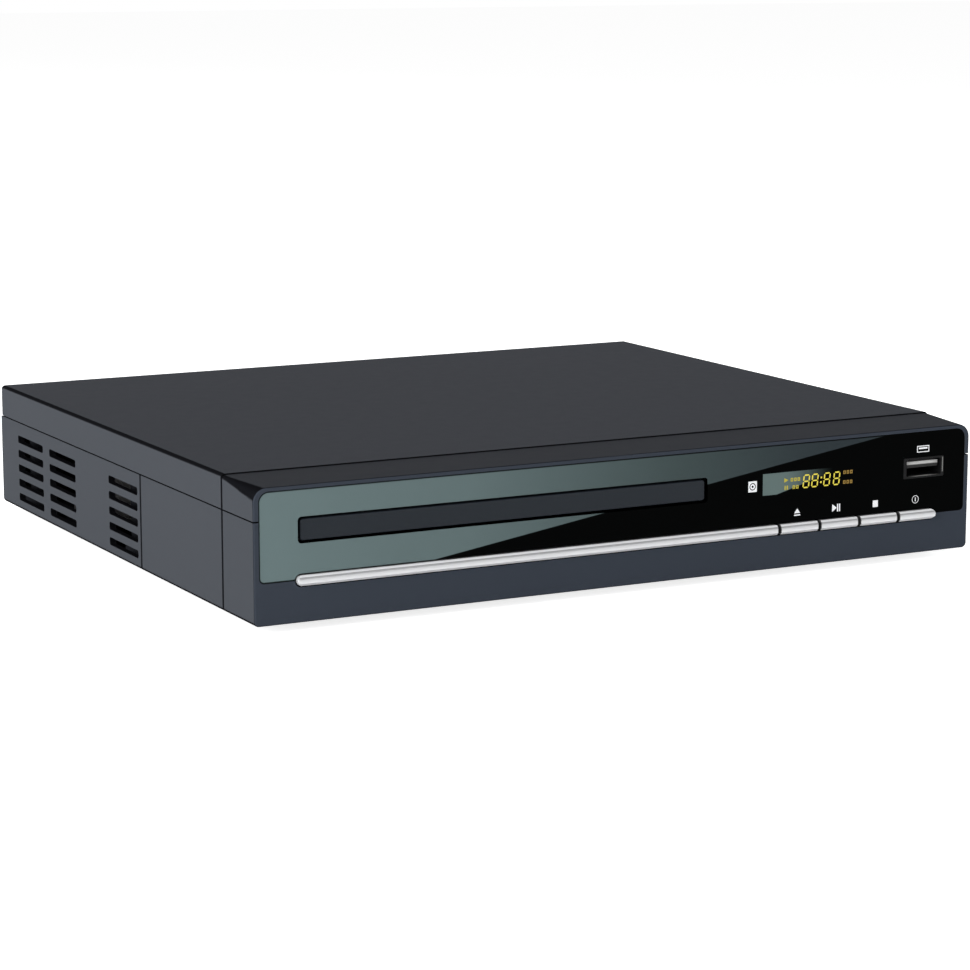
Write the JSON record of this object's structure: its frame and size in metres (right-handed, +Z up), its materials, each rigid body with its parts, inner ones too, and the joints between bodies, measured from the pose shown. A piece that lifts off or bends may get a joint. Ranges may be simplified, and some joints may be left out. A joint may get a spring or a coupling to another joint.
{
  "type": "disc player",
  "caption": "Flat disc player with a motor-driven front tray, a dark front window, a bar of push buttons and rear sockets; it opens to take a disc.",
  "frame": {"origin": "centre of the footprint at the underside of the feet", "axes": "+X to the right seen from the front, +Y from front to back, +Z up"},
  "size_m": [0.235, 0.2152, 0.041],
  "materials": {
    "cover_plastic": "satin grey-black moulding",
    "side_plastic": "fine spark-eroded grey moulding",
    "bezel_plastic": "satin dark grey moulding",
    "window_acrylic": "polished black acrylic",
    "door_plastic": "satin dark grey moulding",
    "trim_metal": "brushed silver",
    "button_metal": "brushed silver",
    "foot_rubber": "matt rubber",
    "tray_plastic": "fine matt black moulding",
    "frame_plastic": "plain black moulding",
    "gear_plastic": "natural acetal",
    "slider_plastic": "plain grey moulding",
    "belt_rubber": "plain rubber",
    "zinc_steel": "zinc plated",
    "motor_steel": "drawn can",
    "rod_steel": "ground",
    "turntable_plastic": "fine matt moulding",
    "pickup_metal": "die-cast zinc, blackened",
    "lens_glass": "coated lens",
    "board_laminate": "green solder mask",
    "chip_resin": "moulded resin",
    "sink_aluminium": "extruded",
    "can_sleeve": "shrunk sleeve",
    "ferrite": "sintered",
    "winding_tape": "polyester tape",
    "fuse_glass": "clear tube",
    "socket_plastic": "plain black moulding",
    "panel_steel": "black painted sheet",
    "socket_steel": "nickel plated",
    "pin_brass": "plated",
    "tongue_plastic": "white moulding",
    "jack_yellow": "moulded",
    "jack_white": "moulded",
    "jack_red": "moulded",
    "jack_orange": "moulded",
    "ribbon_film": "laminated film",
    "display_plastic": "black face",
    "screw_steel": "blackened"
  },
  "bodies": {
    "root": {"top_cover": "cover_plastic", "lower_shell_front": "side_plastic", "lower_shell_rear": "side_plastic", "front_bezel_upper": "bezel_plastic", "front_bezel_lower": "bezel_plastic", "front_window": "window_acrylic", "trim_bar": "trim_metal", "rubber_feet": "foot_rubber", "loader_frame": "frame_plastic", "drive_belt": "belt_rubber", "tray_motor": "motor_steel", "clamp_bridge": "zinc_steel", "front_board": "board_laminate", "display_module": "display_plastic", "ir_receiver": "chip_resin", "data_socket_shell": "socket_steel", "data_socket_tongue": "tongue_plastic", "main_board": "board_laminate", "decoder_chip": "chip_resin", "heat_sink": "sink_aluminium", "memory_chips": "chip_resin", "board_capacitors": "can_sleeve", "power_board": "board_laminate", "transformer_core": "ferrite", "transformer_coil": "winding_tape", "fuse": "fuse_glass", "mains_inlet": "socket_plastic", "mains_pins": "pin_brass", "rear_panel": "panel_steel", "jack_block": "socket_plastic", "jack_sleeves": "socket_steel", "jack_insulator_yellow": "jack_yellow", "jack_insulator_white": "jack_white", "jack_insulator_red": "jack_red", "jack_insulator_orange": "jack_orange", "video_socket_shell": "socket_steel", "video_socket_tongue": "socket_plastic", "front_ribbon": "ribbon_film", "case_screws": "screw_steel", "board_screws": "screw_steel", "tact_switches": "socket_steel"},
    "tray": {"disc_tray": "tray_plastic", "tray_door": "door_plastic"},
    "drive_gear": {"drive_gear": "gear_plastic"},
    "pulley_gear": {"pulley_gear": "gear_plastic"},
    "motor_pulley": {"motor_pulley": "gear_plastic"},
    "traverse": {"traverse_deck": "zinc_steel", "spindle_motor": "motor_steel", "guide_rods": "rod_steel", "sled_motor": "motor_steel"},
    "turntable": {"turntable": "turntable_plastic"},
    "sled": {"pickup_sled": "pickup_metal"},
    "lens": {"objective_lens": "lens_glass"},
    "feed_screw": {"feed_screw": "rod_steel"},
    "cam_slider": {"cam_slider": "slider_plastic"},
    "clamp_puck": {"clamp_puck": "turntable_plastic"},
    "button_eject": {"button_eject": "button_metal"},
    "button_play": {"button_play": "button_metal"},
    "button_stop": {"button_stop": "button_metal"},
    "button_power": {"button_power": "button_metal"}
  },
  "joints": [
    {"name": "tray_slide", "type": "slide", "parent": "root", "child": "tray", "axis": [0, -1, 0], "range_m": [0, 0.134]},
    {"name": "drive_gear_spin", "type": "hinge", "parent": "root", "child": "drive_gear", "pos_m": [-0.0026, -0.08035, 0.0244], "axis": [0, 0, 1], "range_deg": [-600, 0]},
    {"name": "pulley_gear_spin", "type": "hinge", "parent": "root", "child": "pulley_gear", "pos_m": [-0.0234, -0.08035, 0.0133], "axis": [0, 0, 1], "range_deg": [0, 1340]},
    {"name": "motor_pulley_spin", "type": "hinge", "parent": "root", "child": "motor_pulley", "pos_m": [-0.0594, -0.08035, 0.0189], "axis": [0, 0, 1], "range_deg": [0, 5350]},
    {"name": "traverse_tilt", "type": "hinge", "parent": "root", "child": "traverse", "pos_m": [-0.0396, 0.04755, 0.017], "axis": [1, 0, 0], "range_deg": [0, 3.2]},
    {"name": "cam_slide", "type": "slide", "parent": "root", "child": "cam_slider", "axis": [1, 0, 0], "range_m": [0, 0.0161]},
    {"name": "turntable_spin", "type": "hinge", "parent": "traverse", "child": "turntable", "pos_m": [-0.0396, -0.03645, 0.03], "axis": [0, 0, 1], "continuous": true},
    {"name": "puck_spin", "type": "hinge", "parent": "root", "child": "clamp_puck", "pos_m": [-0.0396, -0.03645, 0.0329], "axis": [0, 0, 1], "continuous": true},
    {"name": "sled_slide", "type": "slide", "parent": "traverse", "child": "sled", "axis": [0, 1, 0], "range_m": [0, 0.034]},
    {"name": "feed_screw_spin", "type": "hinge", "parent": "traverse", "child": "feed_screw", "pos_m": [-0.0036, -0.02645, 0.0165], "axis": [0, 1, 0], "range_deg": [0, 4090]},
    {"name": "lens_focus", "type": "slide", "parent": "sled", "child": "lens", "axis": [0, 0, 1], "range_m": [-0.0005, 0.0005], "stiffness_N_per_m": 60},
    {"name": "button_eject_press", "type": "slide", "parent": "root", "child": "button_eject", "axis": [0, 1, 0], "range_m": [0, 0.0006], "stiffness_N_per_m": 900},
    {"name": "button_play_press", "type": "slide", "parent": "root", "child": "button_play", "axis": [0, 1, 0], "range_m": [0, 0.0006], "stiffness_N_per_m": 900},
    {"name": "button_stop_press", "type": "slide", "parent": "root", "child": "button_stop", "axis": [0, 1, 0], "range_m": [0, 0.0006], "stiffness_N_per_m": 900},
    {"name": "button_power_press", "type": "slide", "parent": "root", "child": "button_power", "axis": [0, 1, 0], "range_m": [0, 0.0006], "stiffness_N_per_m": 900}
  ],
  "couplings": [
    {"joint": "drive_gear_spin", "follows": "tray_slide", "rad_per_m": -76.923},
    {"joint": "pulley_gear_spin", "follows": "tray_slide", "rad_per_m": 173.08},
    {"joint": "motor_pulley_spin", "follows": "tray_slide", "rad_per_m": 695.34},
    {"joint": "cam_slide", "follows": "traverse_tilt", "m_per_rad": 0.28648},
    {"joint": "turntable_spin", "follows": "puck_spin", "ratio": 1},
    {"joint": "feed_screw_spin", "follows": "sled_slide", "rad_per_m": 2094.4}
  ]
}
